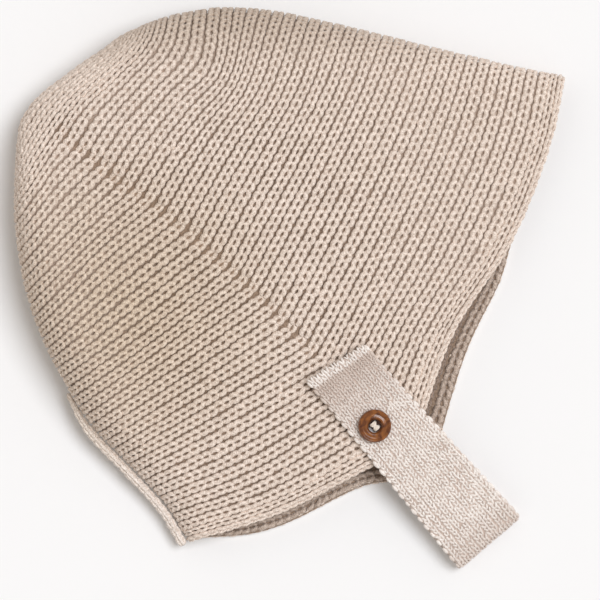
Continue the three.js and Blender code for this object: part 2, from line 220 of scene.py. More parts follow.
def editAll(*operations):
    # runs mesh operations on every face of the object at work
    bpy.ops.object.mode_set(mode="EDIT")
    bpy.ops.mesh.select_all(action="SELECT")
    for operation in operations:
        operation()
    bpy.ops.object.mode_set(mode="OBJECT")


def faceOutward():
    bpy.ops.mesh.normals_make_consistent(inside=False)


def takeMesh():
    # points and faces of the object at work, which is then removed
    mesh = bpy.context.object.data
    points = np.array([vertex.co for vertex in mesh.vertices])
    faces = np.array([list(face.vertices) for face in mesh.polygons])
    bpy.data.objects.remove(bpy.context.object)
    return points, faces


def workOn(piece):
    deselect()
    piece.select_set(True)
    bpy.context.view_layer.objects.active = piece


def makeMesh(name, points, faces, flow=None):
    # a mesh from arrays of points in millimetres and of triangles or quads
    # (flow is its UV layer, which the materials read)
    faces = np.asarray(faces, np.int32)
    sides = faces.shape[1]
    mesh = bpy.data.meshes.new(name)
    mesh.vertices.add(len(points))
    mesh.vertices.foreach_set("co", (np.asarray(points) * millimetre).astype(np.float32).ravel())
    mesh.loops.add(faces.size)
    mesh.loops.foreach_set("vertex_index", faces.ravel())
    mesh.polygons.add(len(faces))
    mesh.polygons.foreach_set("loop_start", np.arange(0, faces.size, sides, dtype=np.int32))
    mesh.polygons.foreach_set("use_smooth", np.ones(len(faces), bool))
    mesh.update(calc_edges=True)
    if flow is not None:
        layer = mesh.uv_layers.new(name="flow")
        layer.data.foreach_set("uv", np.asarray(flow)[faces.ravel()].astype(np.float32).ravel())
    mesh.validate()
    piece = bpy.data.objects.new(name, mesh)
    bpy.context.scene.collection.objects.link(piece)
    return piece


def modelYarn(line, roundness):
    # a short length of yarn, drawn as a curve and made a mesh of triangles
    deselect()
    bpy.ops.curve.primitive_bezier_curve_add()
    drawn = bpy.context.object
    spline = drawn.data.splines[0]
    spline.bezier_points.add(len(line) - 2)
    for point, (x, y, z, radius) in zip(spline.bezier_points, line):
        point.co = (x, y, z)
        point.radius = radius
        point.handle_left_type = "AUTO"
        point.handle_right_type = "AUTO"
    drawn.data.dimensions = "3D"
    drawn.data.resolution_u = roundness["along"]
    drawn.data.bevel_depth = 1.0
    drawn.data.bevel_resolution = roundness["around"]
    drawn.data.use_fill_caps = True
    bpy.ops.object.convert(target="MESH")
    editAll(bpy.ops.mesh.quads_convert_to_tris, bpy.ops.mesh.remove_doubles, faceOutward)
    return takeMesh()


def pairOfLegs(leg):
    # a stitch is a leg and its mirror image
    points, faces = leg
    mirrored = points * np.array([-1, 1, 1])
    both = np.vstack([points, mirrored])
    return both, np.vstack([faces, faces[:, ::-1] + len(points)])


def copiedFaces(faces, copies, size):
    # faces of many copies of one model with so many points
    return (faces[None] + (np.arange(copies) * size)[:, None, None]).reshape(-1, 3)


def steadyPath(points, normals, widths, closed, step=0.25, ease=5):
    # a line of stitches at an even step: points, directions along, across and out, and widths
    # (ease is how many steps to either side set the direction along)
    if closed:
        points = np.vstack([points, points[:1]])
        normals = np.vstack([normals, normals[:1]])
        widths = np.append(widths, widths[0])
    lengths = lengthsAlong(points)
    count = int(round(lengths[-1] / step))
    places = np.arange(count + (0 if closed else 1)) * lengths[-1] / count
    steady = readColumns(places, lengths, points)
    out = readColumns(places, lengths, normals)
    wide = np.interp(places, lengths, widths)
    if closed:
        ahead = np.roll(steady, -ease, axis=0) - np.roll(steady, ease, axis=0)
    else:
        reach = np.arange(len(steady))
        ahead = steady[np.minimum(reach + ease, len(steady) - 1)] - steady[np.maximum(reach - ease, 0)]
    ahead = unit(ahead)
    across = unit(np.cross(ahead, out))
    out = np.cross(across, ahead)
    return {
        "points": steady, "ahead": ahead, "across": across, "out": out,
        "wide": wide, "length": lengths[-1], "closed": closed,
    }


# Each stitch reads its yarn's pattern at a place of its own, up to this far off
flowSpread = 20
# Starts of the random draws, to which a piece adds its own count
seeds = {"ribs": 100, "crown": 300, "inside": 400, "seam": 500, "strap": 700, "edges": 31}


def layStitches(path, stitch, starts, pitch, seed, looseness, height, forward=1.0):
    # copies of one stitch along a path, each bent to it and a little uneven
    # (forward is -1 where the stitches run back along the path)
    model, faces = stitch
    chance = np.random.default_rng(seed)
    count = len(starts)
    size = len(path["points"])
    step = path["length"] / (size if path["closed"] else size - 1)
    grow = 1 + looseness["size"] * chance.standard_normal((count, 1))
    shift = looseness["place"] * chance.standard_normal((count, 3))
    turn = looseness["turn"] * chance.standard_normal((count, 1))
    x = model[None, :, 0] * grow
    y = model[None, :, 1] * forward * pitch * grow
    x, y = x * np.cos(turn) - y * np.sin(turn), x * np.sin(turn) + y * np.cos(turn)
    z = model[None, :, 2] * grow + shift[:, 2:] + height
    x = x + shift[:, :1]
    place = (starts[:, None] + y + shift[:, 1:2]) / step
    low = np.floor(place).astype(int)
    part = (place - low)[:, :, None]
    if path["closed"]:
        first, second = low % size, (low + 1) % size
    else:
        first = np.clip(low, 0, size - 1)
        second = np.clip(low + 1, 0, size - 1)
        part = np.clip(place - first, 0, 1)[:, :, None]

    def read(name):
        values = path[name].reshape(size, -1)
        return values[first] * (1 - part) + values[second] * part

    points = read("points") + read("across") * x[:, :, None] * read("wide") + read("out") * z[:, :, None]
    if not path["closed"]:
        over = (place - np.clip(place, 0, size - 1)) * step
        points = points + read("ahead") * over[:, :, None]
    flow = np.stack([model[None, :, 0] + 0 * y, y + starts[:, None]], axis=2)
    flow = flow + chance.uniform(0, flowSpread, (count, 1, 2))
    turned = faces if forward > 0 else faces[:, ::-1]
    return points.reshape(-1, 3), copiedFaces(turned, count, len(model)), flow.reshape(-1, 2)


def fillLine(path, stitch, pitch, seed, looseness, height):
    # stitches at even steps over a whole open path
    count = int(path["length"] / pitch)
    pitch = path["length"] / count
    return layStitches(path, stitch, (np.arange(count) + 0.5) * pitch, pitch, seed, looseness, height)


def joinLaid(laid):
    points, faces, flow = zip(*laid)
    starts = np.cumsum([0] + [len(part) for part in points])
    shifted = [part + start for part, start in zip(faces, starts)]
    return np.vstack(points), np.vstack(shifted), np.vstack(flow)


def keepOffFloor(points, least=0.02):
    points[:, 2] = np.maximum(points[:, 2], least)
    return points


# Yarn materials: colours are what a user changes first
yarnLook = {
    "knit": {"light": (0.98, 0.85, 0.75), "dark": (0.62, 0.505, 0.42), "roughness": 0.85},
    # painted shade: the core's yarn is the knit's own yarn darkened, for the shade in the grooves and holes
    "core": {"light": (0.37, 0.265, 0.195), "dark": (0.21, 0.145, 0.10), "roughness": 0.95},
    # painted shade: the inside's yarn, and its deeper shade further in, are the knit's yarn darkened where
    # the upper layer shades it
    "inside": {"light": (0.70, 0.58, 0.49), "dark": (0.40, 0.30, 0.235), "roughness": 0.9},
    "seam": {"light": (1.0, 0.91, 0.84), "dark": (0.72, 0.62, 0.54), "roughness": 0.85},
    "deepShade": {"light": (0.43, 0.315, 0.245), "dark": (0.20, 0.14, 0.105), "roughness": 0.95},
    "strap": {"light": (1.0, 0.95, 0.90), "dark": (0.80, 0.71, 0.65), "roughness": 0.85},
    # painted shade along the strap: in the trough behind its raised end and round its loop
    "strapPaintedShade": {
        "colour": (0.56, 0.44, 0.365),
        "length": 100.0,
        "steps": [
            (0.0, 0.0), (0.028, 0.0), (0.038, 0.72), (0.08, 0.6), (0.144, 0.34),
            (0.28, 0.0), (0.73, 0.0), (0.79, 0.2), (0.85, 0.5), (0.9, 0.5),
        ],
    },
    # painted shade: the strap's inner band is its own yarn darkened, for the shade between its stitches
    "strapCoreShaded": {"light": (0.70, 0.58, 0.51), "dark": (0.52, 0.41, 0.35), "roughness": 0.95},
    "thread": {"light": (0.93, 0.85, 0.75), "dark": (0.74, 0.64, 0.54), "roughness": 0.7},
    # painted light: lifts the core's painted shade, by the share carried in its flow
    "corePaintedLight": {"colour": (0.68, 0.55, 0.46), "length": 1.0, "steps": [(0.0, 0.0), (1.0, 0.5)]},
    "sheen": 0.25,
    "sheenRoughness": 0.5,
    "twistScale": 0.6 / 0.9,
    "twistBend": 0.6,
    "twistDepth": 0.12,
    "patchSize": 0.9,
    "fibreSize": 0.45,
    "fibreDepth": 0.10,
    "fibreShare": 0.5,
    "detail": 2.0,
    "bump": 0.5,
    "toneFrom": 0.38,
    "toneTo": 0.62,
    # painted shade: the side of the head's colour, middle and reach, and the top fold's colour and range of
    # Y
    "paintedSideShade": (0.85, 0.81, 0.725),
    "sideShadePlace": (-0.058, -0.006, 0.015),
    "sideShadeFrom": 0.062,
    "sideShadeTo": 0.014,
    "topShade": (0.68, 0.64, 0.585),
    "topFrom": 0.077,
    "topTo": 0.096,
}


class Look:
    # a material and its nodes, whose inputs are set or joined by name
    def __init__(self, name):
        self.material = bpy.data.materials.new(name)
        self.material.use_nodes = True
        self.shader = self.material.node_tree.nodes["Principled BSDF"]

    def fill(self, node, inputs):
        for name, value in inputs.items():
            if isinstance(value, bpy.types.NodeSocket):
                self.material.node_tree.links.new(value, node.inputs[name])
            else:
                node.inputs[name].default_value = value

    def add(self, kind, inputs, **settings):
        node = self.material.node_tree.nodes.new("ShaderNode" + kind)
        for name, value in settings.items():
            setattr(node, name, value)
        self.fill(node, inputs)
        return node

    def noise(self, place, inputs):
        return self.add("TexNoise", {"Vector": place["Object"], **inputs}).outputs["Fac"]

    def ramp(self, amount, steps):
        # colours at places from 0 to 1
        node = self.add("ValToRGB", {"Fac": amount})
        elements = node.color_ramp.elements
        while len(elements) < len(steps):
            elements.new(0.5)
        for element, (position, colour) in zip(elements, steps):
            element.position = position
            element.color = (*colour, 1)
        return node.outputs["Color"]

    def mix(self, share, colour, second, way="MULTIPLY"):
        inputs = {"Factor": share, "A": colour, "B": (*second, 1)}
        return self.add("Mix", inputs, data_type="RGBA", blend_type=way).outputs["Result"]

    def reach(self, value, start, end):
        # 0 where the value is at the start, and 1 where it is at the end
        return self.add("MapRange", {"Value": value, "From Min": start, "From Max": end}).outputs["Result"]

    def distance(self, place, point):
        node = self.add("VectorMath", {0: place["Object"], 1: point}, operation="DISTANCE")
        return node.outputs["Value"]

    def bump(self, height, strength, depth, **inputs):
        inputs = {"Height": height, "Strength": strength, "Distance": depth * millimetre, **inputs}
        return self.add("Bump", inputs).outputs["Normal"]


def yarnMaterial(name, colours, twisted=True, zone=None):
    # spun yarn: two tones in soft patches, fine fibres, and the turns of its plies
    # (zone: a second colour to mix in, by steps of the own UV's first coordinate; on the strap it is painted
    # shade, on the core painted light)
    look = Look(name)
    place = look.add("TexCoord", {}).outputs
    patches, fibres = (
        look.noise(place, {"Scale": 1 / (yarnLook[size] * millimetre), "Detail": yarnLook["detail"]})
        for size in ("patchSize", "fibreSize")
    )
    blend = look.add("Mix", {"Factor": yarnLook["fibreShare"], "A": patches, "B": fibres}, data_type="FLOAT")
    tones = [(yarnLook["toneFrom"], colours["dark"]), (yarnLook["toneTo"], colours["light"])]
    colour = look.ramp(blend.outputs["Result"], tones)
    # painted shade: the yarn is darker and yellower towards the side of the head, and darker and browner on
    # the top fold, where the surface turns from the light
    fromSide = look.distance(place, yarnLook["sideShadePlace"])
    up = look.add("SeparateXYZ", {"Vector": place["Object"]}).outputs["Y"]
    sideShadeShare = look.reach(fromSide, yarnLook["sideShadeFrom"], yarnLook["sideShadeTo"])
    top = look.reach(up, yarnLook["topFrom"], yarnLook["topTo"])
    colour = look.mix(sideShadeShare, colour, yarnLook["paintedSideShade"])
    colour = look.mix(top, colour, yarnLook["topShade"])
    if zone:
        along = look.add("SeparateXYZ", {"Vector": place["UV"]}).outputs["X"]
        share = look.add("Math", {0: along, 1: 1.0 / zone["length"]}, operation="MULTIPLY")
        steps = [(at, (amount,) * 3) for at, amount in zone["steps"]]
        colour = look.mix(look.ramp(share.outputs["Value"], steps), colour, zone["colour"], "MIX")
    under = {}
    if twisted:
        turns = look.add("TexWave", {
            "Vector": place["UV"], "Scale": yarnLook["twistScale"], "Distortion": yarnLook["twistBend"],
        }, wave_type="BANDS", bands_direction="DIAGONAL")
        under["Normal"] = look.bump(turns.outputs["Fac"], yarnLook["bump"], yarnLook["twistDepth"])
    look.fill(look.shader, {
        "Base Color": colour,
        "Normal": look.bump(fibres, yarnLook["bump"], yarnLook["fibreDepth"], **under),
        "Roughness": colours["roughness"],
        "Sheen Weight": yarnLook["sheen"],
        "Sheen Roughness": yarnLook["sheenRoughness"],
    })
    return look.material


knitYarn = yarnMaterial("knitYarn", yarnLook["knit"])
coreShadedYarn = yarnMaterial("coreShadedYarn", yarnLook["core"], twisted=False, zone=yarnLook["corePaintedLight"])
insideShadedYarn = yarnMaterial("insideShadedYarn", yarnLook["inside"])
insideDeepShadeYarn = yarnMaterial("insideDeepShadeYarn", yarnLook["deepShade"])
seamYarn = yarnMaterial("seamYarn", yarnLook["seam"])
strapYarn = yarnMaterial("strapYarn", yarnLook["strap"], zone=yarnLook["strapPaintedShade"])
strapCoreShadedYarn = yarnMaterial("strapCoreShadedYarn", yarnLook["strapCoreShaded"], twisted=False)
sewingThread = yarnMaterial("sewingThread", yarnLook["thread"])


def finishPiece(piece, material, node):
    piece.data.materials.clear()
    piece.data.materials.append(material)
    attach(piece, "root")
    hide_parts(node)


# Stitch of the ribs: half width, place along in stitch pitches, depth under the crest, yarn radius
ribStitch = {
    "leg": [
        (0.26, 0.58, -0.90, 0.80),
        (1.02, 0.27, -0.72, 0.90),
        (1.26, -0.14, -0.84, 0.90),
        (0.72, -0.55, -1.22, 0.84),
    ],
    "near": {"along": 2, "around": 1},
    "far": {"along": 1, "around": 0},
    "looseness": {"size": 0.04, "place": np.array([0.07, 0.10, 0.07]), "turn": 0.07},
    "pitchAcross": 4.5,
    "widths": (0.8, 1.2),
    "pastFold": 4,
    # the chains at the mouth's edge: place in ribs, turn towards the mouth, share of a stitch's width
    "edgeChains": [(0.28, 0.5, 0.62), (0.85, 0.0, 0.70)],
    # points left out at the ends of an open line of stitches
    "crownEnds": (3, 2),
    "insideEnds": 6,
}


def modelRibStitch(roundness):
    line = [(x, y * wall["stitchPitch"], z, radius) for x, y, z, radius in ribStitch["leg"]]
    points, faces = pairOfLegs(modelYarn(line, roundness))
    points[:, 1] /= wall["stitchPitch"]
    return points, faces


def ribPath(rib, side, closed=True, rows=slice(None), lean=0.0, narrow=1.0):
    # the line of stitches on one rib, at the height of the wall's skin on that side (1 is outside)
    # (lean turns the stitches towards the mouth, to wrap its edge)
    index = int(round(rib * wall["gridPerRib"]))
    half = wall["gridPerRib"] // 2
    low, high = max(index - half, 0), min(index + half, len(gridRibs) - 1)
    span = (wallPoints[high] - wallPoints[low]) * (2 * half / (high - low))
    middle = wallPoints[index]
    normals = outward[index] * side
    heading = unit(np.roll(middle, -1, axis=0) - np.roll(middle, 1, axis=0))
    sideways = span - np.sum(span * heading, axis=1, keepdims=True) * heading
    spacing = np.linalg.norm(sideways, axis=1, keepdims=True)
    widths = np.clip(spacing[:, 0] / ribStitch["pitchAcross"], *ribStitch["widths"]) * narrow
    skin = wall["thickness"] / 2
    if side > 0:
        skin = skin + wall["relief"] * wallLift[index]
    normals = normals * math.cos(lean) - sideways / spacing * math.sin(lean)
    points = middle + normals * np.reshape(skin, (-1, 1))
    return steadyPath(points[rows], normals[rows], widths[rows], closed)


def markRows(path, rib):
    # lengths along the path at the mitre and at the top fold
    index = int(round(rib * wall["gridPerRib"]))
    marks = []
    for row in (mitreRow, upperCount - 1):
        nearest = np.argmin(np.linalg.norm(path["points"] - wallPoints[index][row], axis=1))
        marks.append(nearest * path["length"] / len(path["points"]))
    return marks


nearStitch = modelRibStitch(ribStitch["near"])
farStitch = modelRibStitch(ribStitch["far"])
# Each side's stitches are two pieces, parted at the mitre (the near side's crown is all at the back)
laid = {"knit_front": [], "knit_back": [], "knit_far_front": [], "knit_far_back": []}
chains = ribStitch["edgeChains"] + [(rib + 0.5, 0.0, 1.0) for rib in range(1, wall["ribs"])]
for rib, (placed, lean, narrow) in enumerate(chains):
    path = ribPath(placed, 1, lean=lean, narrow=narrow)
    count = int(round(path["length"] / wall["stitchPitch"]))
    pitch = path["length"] / count
    starts = (np.arange(count) + 0.5 * (rib % 2)) * pitch
    mitreMark, topMark = markRows(path, placed)
    # small pits where a rib turns at the mitre
    pitted = wall["mitreRibs"][0] < placed < wall["mitreRibs"][1]
    steps = np.arange(len(path["wide"])) * path["length"] / len(path["wide"])
    pit = np.exp(-((steps - mitreMark) / wall["mitreReach"]) ** 2) * pitted
    path["wide"] *= 1 - wall["mitreNarrow"] * pit
    sink = -wall["mitreSink"] * np.interp(starts, steps, pit)
    farMitre = topMark + (path["length"] - topMark) * (topMark - mitreMark) / topMark
    fromFar = topMark + ribStitch["pastFold"]
    fromFront = mitreMark if placed < wall["crownPiece"] else fromFar
    zones = {
        "knit_back": starts < fromFront,
        "knit_front": (starts >= fromFront) & (starts < fromFar),
        "knit_far_front": (starts >= fromFar) & (starts < farMitre),
        "knit_far_back": starts >= max(farMitre, fromFar),
    }
    for name, chosen in zones.items():
        stitch = farStitch if "far" in name else nearStitch
        if chosen.any():
            laid[name].append(layStitches(
                path, stitch, starts[chosen], pitch, seeds["ribs"] + rib, ribStitch["looseness"],
                sink[chosen][:, None]))
# one more rib closes the fold at the crown
crownRows = np.arange(ribStitch["crownEnds"][0], ringSize // 2 - ribStitch["crownEnds"][1])
path = ribPath(wall["ribs"], 1, closed=False, rows=crownRows)
laid["knit_back"].append(
    fillLine(path, nearStitch, wall["stitchPitch"], seeds["crown"], ribStitch["looseness"], 0.0))
for name, parts in laid.items():
    points, faces, flow = joinLaid(parts)
    piece = makeMesh(name, keepOffFloor(points), faces, flow)
    finishPiece(piece, knitYarn, "knit_shell")
    print(name, len(faces), "triangles")

# Inside of the lower layer, where it shows through the mouth: painted shade under the upper layer, darker
# than the outside's yarn and darker still from the second rib on
insideRibs = {"first": 0.5, "count": 8, "deepShadeFrom": 1.0}
parts, deepShade = [], []
lowerRows = np.arange(upperCount + ribStitch["insideEnds"], ringSize - ribStitch["insideEnds"])
for rib in insideRibs["first"] + np.arange(insideRibs["count"]):
    path = ribPath(rib, -1, closed=False, rows=lowerRows)
    count = int(path["length"] / wall["stitchPitch"])
    pitch = path["length"] / (count + 1)
    starts = (np.arange(count) + 0.5 + 0.5 * (int(rib) % 2)) * pitch
    parts.append(layStitches(
        path, farStitch, starts, pitch, seeds["inside"] + int(rib), ribStitch["looseness"], 0.0, -1.0))
    deepShade.append(np.full(len(parts[-1][1]), rib > insideRibs["deepShadeFrom"]))
points, faces, flow = joinLaid(parts)
inside = makeMesh("knit_inside", keepOffFloor(points), faces, flow)
finishPiece(inside, insideShadedYarn, "knit_shell")
inside.data.materials.append(insideDeepShadeYarn)
inside.data.polygons.foreach_set("material_index", np.concatenate(deepShade).astype(np.int32))
print("knit_inside", len(faces), "triangles")

# Core of the wall: the purl columns and yarn behind the stitches, seen in the grooves and holes, coloured
# far darker than the stitches' yarn as painted shade
core = {
    "under": 1.5,
    "groove": 0.15,
    "insideUnder": 0.95,
    "insideFade": 8.5,
    "insideRib": 0.3,
    "leastWall": 0.4,
    "offFloor": 0.15,
    # how many rows of points the mitre's painted shade stays dark for, and where the other grooves' painted
    # shade is darkest
    "mitreRows": 5.0,
    "darkX": -12.0,
    "darkFromY": -75.0,
    "darkToY": 20.0,
    "darkNear": 30.0,
    "darkFar": 72.0,
}
ribWave = -np.cos(2 * np.pi * gridRibs)[:, None]
outerOffset = wall["thickness"] / 2 + wall["relief"] * wallLift - core["under"] + core["groove"] * ribWave
rowsRound = np.arange(ringSize)
isLower = (rowsRound >= upperCount)[None, :]
covered = isLower & (gridRibs[:, None] <= core["insideFade"])
innerOffset = -wall["thickness"] / 2 + np.where(covered, core["insideUnder"], 0.0)
innerOffset = innerOffset + core["insideRib"] * 0.5 * (1 - np.cos(2 * np.pi * (gridRibs[:, None] + 0.5)))
outerSkin = wallPoints + outward * outerOffset[:, :, None]
innerSkin = wallPoints + outward * np.minimum(innerOffset, outerOffset - core["leastWall"])[:, :, None]
columns = len(gridRibs)


def ringFaces(start, turned):
    # faces of one skin of the wall, whose last ring is folded shut on itself
    column, row = np.meshgrid(np.arange(columns - 1), np.arange(ringSize), indexing="ij")
    nextRow = (row + 1) % ringSize

    def at(columnIndex, rowIndexes):
        folded = (columnIndex == columns - 1) & (rowIndexes > ringSize // 2)
        return start + columnIndex * ringSize + np.where(folded, ringSize - rowIndexes, rowIndexes)

    corners = [at(column, row), at(column + 1, row), at(column + 1, nextRow), at(column, nextRow)]
    quads = np.stack([corner.ravel() for corner in corners], axis=1)
    return quads if turned else quads[:, ::-1]


nextRound = (rowsRound + 1) % ringSize
innerStart = columns * ringSize
rim = np.stack([innerStart + rowsRound, innerStart + nextRound, nextRound, rowsRound], axis=1)
faces = np.vstack([ringFaces(0, False), ringFaces(innerStart, True), rim])
points = np.vstack([outerSkin.reshape(-1, 3), innerSkin.reshape(-1, 3)])
# (painted light in the grooves: the core's painted shade is darkest round the middle, the neck and the
# mitre, and is lifted towards the other edges)
skinPoints = outerSkin.reshape(-1, 3)
away = np.hypot(skinPoints[:, 0] - core["darkX"],
                skinPoints[:, 1] - np.clip(skinPoints[:, 1], core["darkFromY"], core["darkToY"]))
grooveLightShare = np.clip((away - core["darkNear"]) / (core["darkFar"] - core["darkNear"]), 0, 1)
grooveLightShare = grooveLightShare * (1 - np.tile(np.exp(-((rowsRound - mitreRow) / core["mitreRows"]) ** 2), columns))
grooveLightFlow = np.column_stack([np.concatenate([grooveLightShare, 0 * grooveLightShare]), np.zeros(2 * len(grooveLightShare))])
wallCore = makeMesh("knit_core", keepOffFloor(points, core["offFloor"]), faces, grooveLightFlow)
finishPiece(wallCore, coreShadedYarn, "knit_shell")
print("knit_core", 2 * len(faces), "triangles")

# Chin strap: sewn down at its start, looped at its reach and led back under the bonnet's corner
strap = {
    "thickness": 2.2,
    "width": 25.0,
    "startX": 15.8,
    "startY": -25.7,
    "heading": math.radians(-49.4),
    "loopRadius": 3.2,
    "loopReach": 79.8,
    "skew": 0.15,
    "skewLength": 14.0,
    "columns": 11,
    "rowPitch": 1.55,
    "stitchSpan": 0.95,
    "edgePitch": 3.5,
    "edgeSpan": 0.975,
    "step": 0.25,
    "runSteps": (160, 100),
    "loopSteps": 24,
    "smoothRounds": 3,
    "offFloor": 0.02,
}
# distance from the start, height and width of the strap's middle: above, then below
upperRun = np.array([
    [0, 19.8, 24], [1.6, 20.2, 24], [4, 19.2, 24], [7.5, 17.5, 24], [12, 16.65, 24], [18, 15.65, 24.4],
    [28, 14.3, 24.8], [33, 13.9, 25.1], [38, 13.5, 25.4], [52, 11.3, 26.4], [68, 8.9, 27.4],
    [79.8, 7.5, 28],
])
lowerRun = np.array([
    [36, 4.3, 24.6], [42, 4.3, 25], [52, 4.2, 25.6], [54.5, 3.7, 26], [58, 2.2, 26.2],
    [63, 1.1, 26.6], [70, 1.1, 27.4], [79.8, 1.1, 28],
])


def strapLine():
    # distance, height and width of its middle at even steps, its direction there, and the lengths
    upper = readTable(upperRun, np.linspace(0, strap["loopReach"], strap["runSteps"][0]))
    lower = readTable(lowerRun, np.linspace(strap["loopReach"], lowerRun[0, 0], strap["runSteps"][1]))
    angles = np.pi / 2 - np.pi * np.arange(1, strap["loopSteps"]) / strap["loopSteps"]
    loop = np.column_stack([
        strap["loopReach"] + strap["loopRadius"] * np.cos(angles),
        strap["thickness"] / 2 + strap["loopRadius"] * (1 + np.sin(angles)),
        np.full(len(angles), upperRun[-1, 2]),
    ])
    middle = np.vstack([upper, loop, lower])
    lengths = lengthsAlong(middle[:, :2])
    places = np.linspace(0, lengths[-1], int(lengths[-1] / strap["step"]) + 1)
    steady = readColumns(places, lengths, middle)
    ahead = np.gradient(steady[:, :2], axis=0)
    for _ in range(strap["smoothRounds"]):
        ahead[1:-1] = (ahead[:-2] + 2 * ahead[1:-1] + ahead[2:]) / 4
    return steady, unit(ahead), places


strapMiddle, strapAhead, strapPlaces = strapLine()
strapLength = strapPlaces[-1]
print("strap length", round(float(strapLength), 1))


def strapPoint(places, across, lift):
    # a point of the strap: distance along its middle line, across it, and out of its upper face
    # (across is in shares of the half width)
    read = readColumns(places, strapPlaces, strapMiddle)
    ahead = readColumns(places, strapPlaces, strapAhead)
    over = places - np.clip(places, 0, strapLength)
    wide = across * read[..., 2] / 2
    skew = strap["skew"] * np.clip(1 - read[..., 0] / strap["skewLength"], 0, 1) * (places < strapLength / 2)
    along = read[..., 0] - ahead[..., 1] * lift + wide * skew + ahead[..., 0] * over
    height = read[..., 1] + ahead[..., 0] * lift + ahead[..., 1] * over
    cosine, sine = math.cos(strap["heading"]), math.sin(strap["heading"])
    x = strap["startX"] + along * cosine - wide * sine
    y = strap["startY"] + along * sine + wide * cosine
    return np.stack([x, y, np.maximum(height, strap["offFloor"])], axis=-1)


def bendToStrap(faces, starts, x, y, centres, lift, span, chance):
    # copies of one model at their places on the strap
    # (their flow's first coordinate runs along it, for the painted shade a little way from its start and
    # round its loop)
    along = starts[:, None] + y
    points = strapPoint(along, centres + x * span * 2 / strap["width"], lift)
    flow = np.stack([along, x + chance.uniform(0, flowSpread, (len(starts), 1))], axis=2)
    return points.reshape(-1, 3), copiedFaces(faces, *x.shape), flow.reshape(-1, 2)


# Small stitch of the strap: half width, place along in rows, depth under the face, yarn radius
strapStitch = {
    "leg": [
        (0.14, 0.60, -0.68, 0.32),
        (0.46, 0.20, -0.38, 0.42),
        (0.78, -0.50, -0.64, 0.36),
    ],
    "face": {"along": 2, "around": 1},
    "back": {"along": 1, "around": 0},
    "size": 0.10,
    "place": 0.09,
    "turn": 0.18,
}


def layStrapStitches(roundness, lift, seed):
    # plain stitches in rows and columns on one face of the strap
    line = [(x, y * strap["rowPitch"], z, radius) for x, y, z, radius in strapStitch["leg"]]
    model, faces = pairOfLegs(modelYarn(line, roundness))
    chance = np.random.default_rng(seed)
    rows = int(strapLength / strap["rowPitch"])
    column, row = np.meshgrid(np.arange(strap["columns"]), np.arange(rows), indexing="ij")
    column, row = column.ravel(), row.ravel()
    starts = (row + 0.5) * strapLength / rows
    centres = (-1 + (2 * column + 1) / strap["columns"])[:, None] * strap["stitchSpan"]
    count = len(starts)
    grow = 1 + strapStitch["size"] * chance.standard_normal((count, 1))
    turn = strapStitch["turn"] * chance.standard_normal((count, 1))
    x, y = model[None, :, 0] * grow, model[None, :, 1] * grow
    x, y = x * np.cos(turn) - y * np.sin(turn), x * np.sin(turn) + y * np.cos(turn)
    x = x + strapStitch["place"] * chance.standard_normal((count, 1))
    y = y + strapStitch["place"] * chance.standard_normal((count, 1))
    z = model[None, :, 2] * grow + 0.5 * strapStitch["place"] * chance.standard_normal((count, 1))
    turned = faces if lift < 0 else faces[:, ::-1]
    height = np.sign(lift) * (abs(lift) + z)
    return bendToStrap(turned, starts, x, y, centres, height, strap["stitchSpan"], chance)


halfThick = strap["thickness"] / 2
for side, lift in (("face", 1), ("back", -1)):
    points, faces, flow = layStrapStitches(strapStitch[side], lift * halfThick, seeds["strap"] + lift)
    piece = makeMesh("strap_" + side, keepOffFloor(points), faces, flow)
    finishPiece(piece, strapYarn, "chin_strap")
    print("strap_" + side, len(faces), "triangles")


def tubeFaces(steps, sides):
    # faces of a tube: each ring of points is joined to the next
    column, row = np.meshgrid(np.arange(steps - 1) * sides, np.arange(sides), indexing="ij")
    column, row = column.ravel(), row.ravel()
    ahead = column + sides
    following = (row + 1) % sides
    return np.stack([column + row, ahead + row, ahead + following, column + following], axis=1)


# Band inside the strap: share of its half width and of its half thickness
bandSection = np.array([
    [-0.97, 0.2], [-0.93, 0.42], [0, 0.42], [0.93, 0.42], [0.97, 0.2],
    [0.97, -0.2], [0.93, -0.42], [0, -0.42], [-0.93, -0.42], [-0.97, -0.2],
])
bandLook = {"start": 0.6, "steps": 270, "offFloor": 0.12}
bandPlaces = np.linspace(bandLook["start"], strapLength, bandLook["steps"])
sections = strapPoint(bandPlaces[:, None], bandSection[None, :, 0], bandSection[None, :, 1] * halfThick)
sides = len(bandSection)
lastStart = (len(bandPlaces) - 1) * sides
caps = []
for row in range(1, sides // 2):
    caps.append([row - 1, row, sides - 1 - row, sides - row])
    caps.append([lastStart + row, lastStart + row - 1, lastStart + sides - row, lastStart + sides - 1 - row])
bandPoints = keepOffFloor(sections.reshape(-1, 3), bandLook["offFloor"])
band = makeMesh("strap_band", bandPoints, np.vstack([tubeFaces(len(bandPlaces), sides), caps]))
workOn(band)
editAll(faceOutward)
# the band's darker yarn is painted shade between the strap's stitches
finishPiece(band, strapCoreShadedYarn, "chin_strap")
print("strap_band", len(band.data.polygons), "faces")

